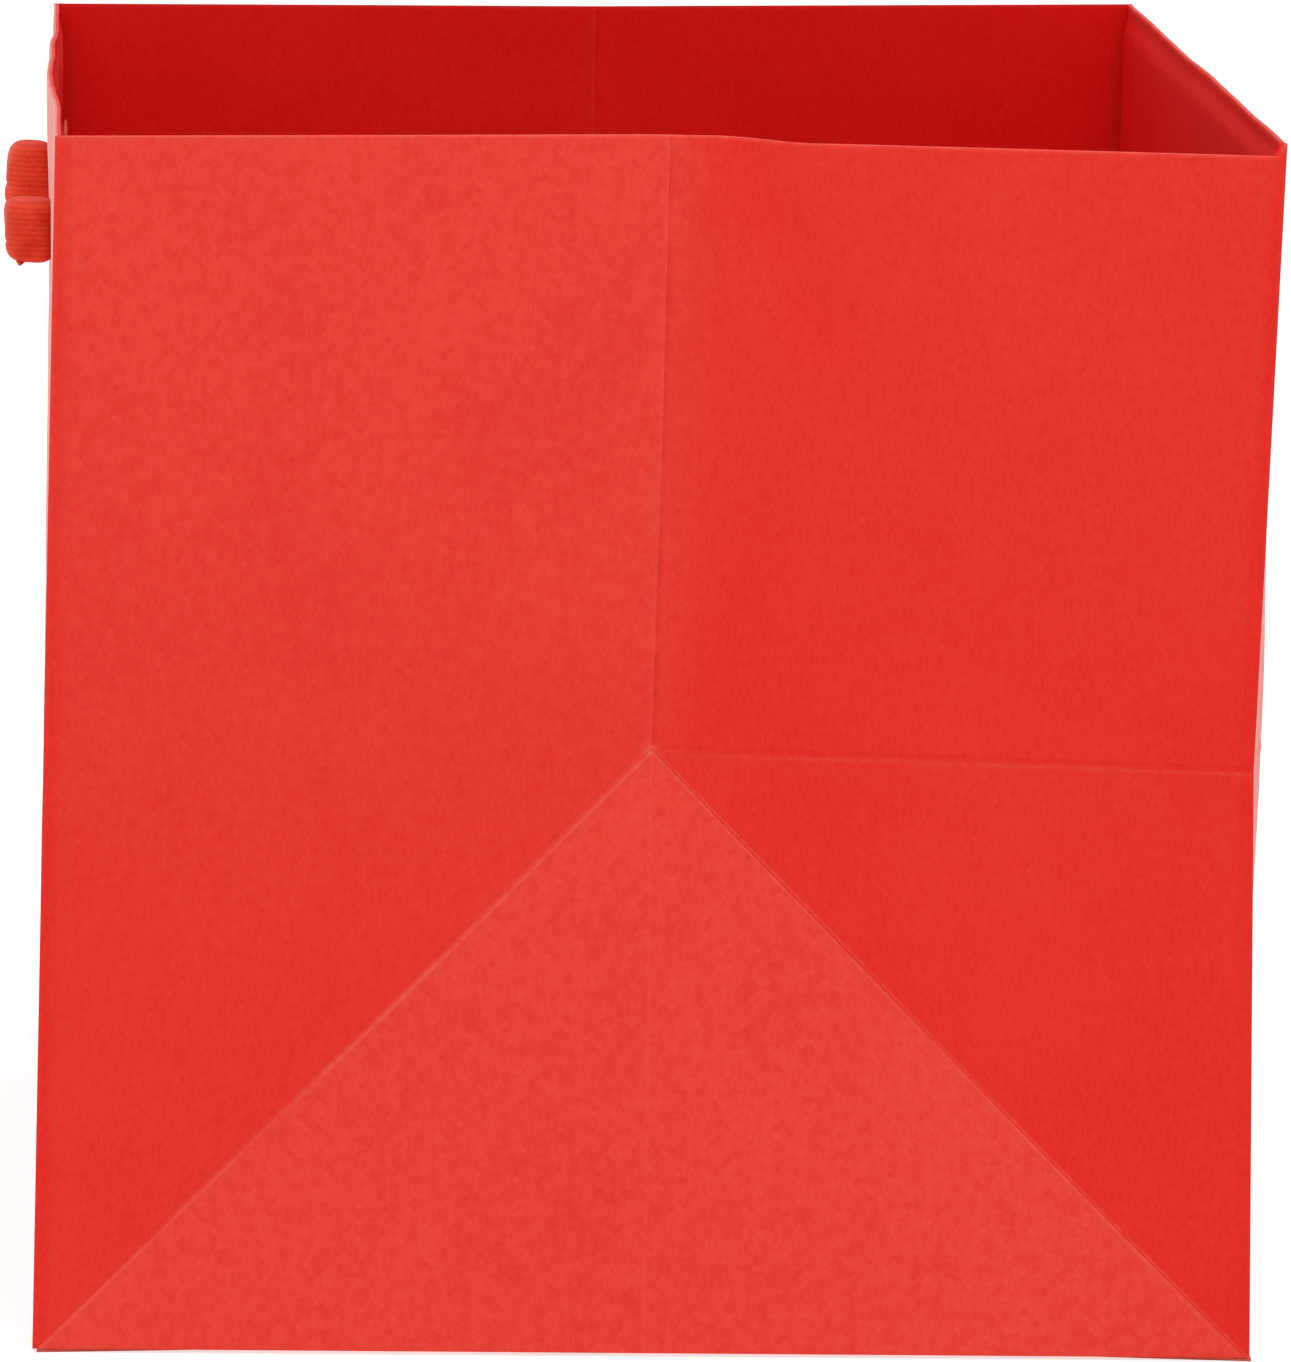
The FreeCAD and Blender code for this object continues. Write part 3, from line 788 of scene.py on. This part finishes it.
def make_knot(wall, side):
    """The tied end outside the panel, its cut tail, the stub in the hole and the bend inside."""
    sign = 1 if wall == "back" else -1
    hole_x = HOLE_X if side == "right" else -HOLE_X
    face = wall_point(wall, np.array([hole_x]), np.array([HOLE_Z]), 0)[0]
    middle = np.array([face[0], face[1], KNOT_CENTRE[side]])
    fuller = 1 if side == "right" else -1
    points, faces, rib = knot_body(middle, sign, KNOT_SIZE[side], KNOT_REACH[wall][side], fuller)
    body = new_piece("knot_lump", points, faces, {"rib": rib}, sharp=80)
    steps = np.linspace(0, 1, 60)[:, None]
    start = middle + np.array([0, sign * 3.2 * MM, 0.5 * MM])
    end = middle + np.array([0.4 * MM, sign * 3.8 * MM, -3.7 * MM])
    across = np.tile(np.array([1.0, 0.0, 0.0]), (len(steps), 1))
    taper = 3.6 * MM * (1 - 0.7 * smooth(steps[:, 0], 0.5, 1.0))
    widths = np.full(len(steps), 7 * MM)
    tail = strap("knot_tail", start + (end - start) * steps, across, widths, taper, notch=MM)
    inner_y = HALF_Y - 2 * PAPER - CARD
    up = BEND_RISE.get((wall, side), USUAL_RISE)
    pinched = up >= TALL_RISE
    slim = 0.1 if pinched else 1.0
    route = np.array([
        (inner_y + 2.2 * MM, HOLE_Z),
        (inner_y - 0.5 * MM, HOLE_Z + 0.5 * MM),
        (inner_y - 2.6 * MM * slim, HOLE_Z + up),
        (inner_y - 5.4 * MM * slim, HOLE_Z + up - 0.5 * MM),
        (inner_y - 6.2 * MM * slim, HOLE_Z - 1.5 * MM),
        (inner_y - 3.6 * MM * slim, HOLE_Z - 6.5 * MM),
        (inner_y - 1.2 * MM, HOLE_Z - 11 * MM),
    ])
    curve = smooth_path(route, 90)
    lean = np.linspace(0, -0.32, len(curve)) * (1 if side == "right" else -1)
    drop = HOLE_Z - curve[:, 1]
    centre = np.stack([hole_x + np.clip(drop, 0, 1) * np.tan(lean), sign * curve[:, 0], curve[:, 1]], -1)
    across = np.stack([np.cos(lean), 0 * lean, np.sin(lean)], -1)
    share = np.linspace(0, 1, len(curve))
    widths = 3.6 * MM + 6.0 * MM * smooth(share, 0.05, 0.5)
    bend = strap("knot_bend", centre, across, widths, STRAP * (0.5 if pinched else 1))
    piece = join(f"{wall}_knot_{side}_grosgrain", [body, tail, bend])
    body_name = "back_upper" if wall == "back" else "front"
    press = ("fold_flat", (0, 1, 0), (0, sign * (HALF_Y - PAPER), 0), KNOT_KEEP)
    finished(piece, f"{wall}_knot_{side}", body_name, GROSGRAIN, press)


def smooth_path(points, count):
    """Points along a smooth curve through the given ones."""
    padded = np.vstack([2 * points[0] - points[1], points, 2 * points[-1] - points[-2]])
    out = []
    spans = len(points) - 1
    for t in np.linspace(0, spans - 1e-6, count):
        i = int(t)
        u = t - i
        p0, p1, p2, p3 = padded[i:i + 4]
        out.append(0.5 * (2 * p1 + (p2 - p0) * u + (2 * p0 - 5 * p1 + 4 * p2 - p3) * u ** 2
                          + (3 * p1 - p0 - 3 * p2 + p3) * u ** 3))
    return np.array(out)


# ---------------------------------------------------------------- stage, light and camera
def make_stage():
    """A wide pale floor, which is also all that shows behind the bag."""
    size = 12.0
    mesh = bpy.data.meshes.new("floor")
    corners = [(-size, -size, 0), (size, -size, 0), (size, size, 0), (-size, size, 0)]
    mesh.from_pydata(corners, [], [(0, 1, 2, 3)])
    floor = bpy.data.objects.new("floor", mesh)
    bpy.context.scene.collection.objects.link(floor)
    n = Nodes("pale_floor")
    n.link((0.42, 0.42, 0.415), n.shader.inputs["Base Color"])
    n.link(0.9, n.shader.inputs["Roughness"])
    n.link((1.0, 1.0, 1.0), n.shader.inputs["Emission Color"])
    n.link(0.68, n.shader.inputs["Emission Strength"])
    mesh.materials.append(n.material)


def area_light(name, place, target, size, power):
    """A white rectangular softbox that faces a target."""
    data = bpy.data.lights.new(name, "AREA")
    data.shape = "RECTANGLE"
    data.size, data.size_y = size
    data.energy = power
    light = bpy.data.objects.new(name, data)
    light.location = place
    light.rotation_euler = (Vector(target) - Vector(place)).to_track_quat("-Z", "Y").to_euler()
    bpy.context.scene.collection.objects.link(light)


def make_lights():
    """An even, nearly white surround, and one softbox overhead."""
    world = bpy.data.worlds.new("studio_fill")
    world.use_nodes = True
    background = world.node_tree.nodes["Background"]
    background.inputs["Color"].default_value = (1.0, 0.995, 0.985, 1)
    background.inputs["Strength"].default_value = 0.82
    bpy.context.scene.world = world
    area_light("overhead_softbox", (0.35, 0.0, 1.3), (0, 0, 0.05), (1.2, 1.2), 9)


def make_camera():
    """Low and a little above the bag's mouth, square to the right gusset."""
    place = Vector((1.3710, -0.06545, 0.27027))
    forward = Vector((-0.98820, 0.04971, -0.14462)).normalized()
    roll = math.radians(-1.03)
    level = forward.cross(Vector((0, 0, 1))).normalized()
    right = (Matrix.Rotation(roll, 3, forward) @ level).normalized()
    up = right.cross(forward)
    data = bpy.data.cameras.new("camera")
    data.lens = 278.2
    data.sensor_width = 36
    data.clip_end = 60
    camera = bpy.data.objects.new("camera", data)
    turn = Matrix((right, up, -forward)).transposed().to_4x4()
    camera.matrix_world = Matrix.Translation(place) @ turn
    bpy.context.scene.collection.objects.link(camera)
    bpy.context.scene.camera = camera


for gusset_side in ("right", "left"):
    make_gusset(gusset_side)
make_panels()
make_base()
make_handle("back", 1)
make_handle("front", -1)
for knot_wall in ("back", "front"):
    for knot_side in ("left", "right"):
        make_knot(knot_wall, knot_side)
make_stage()
make_lights()
make_camera()
bpy.context.scene.view_settings.view_transform = "Standard"
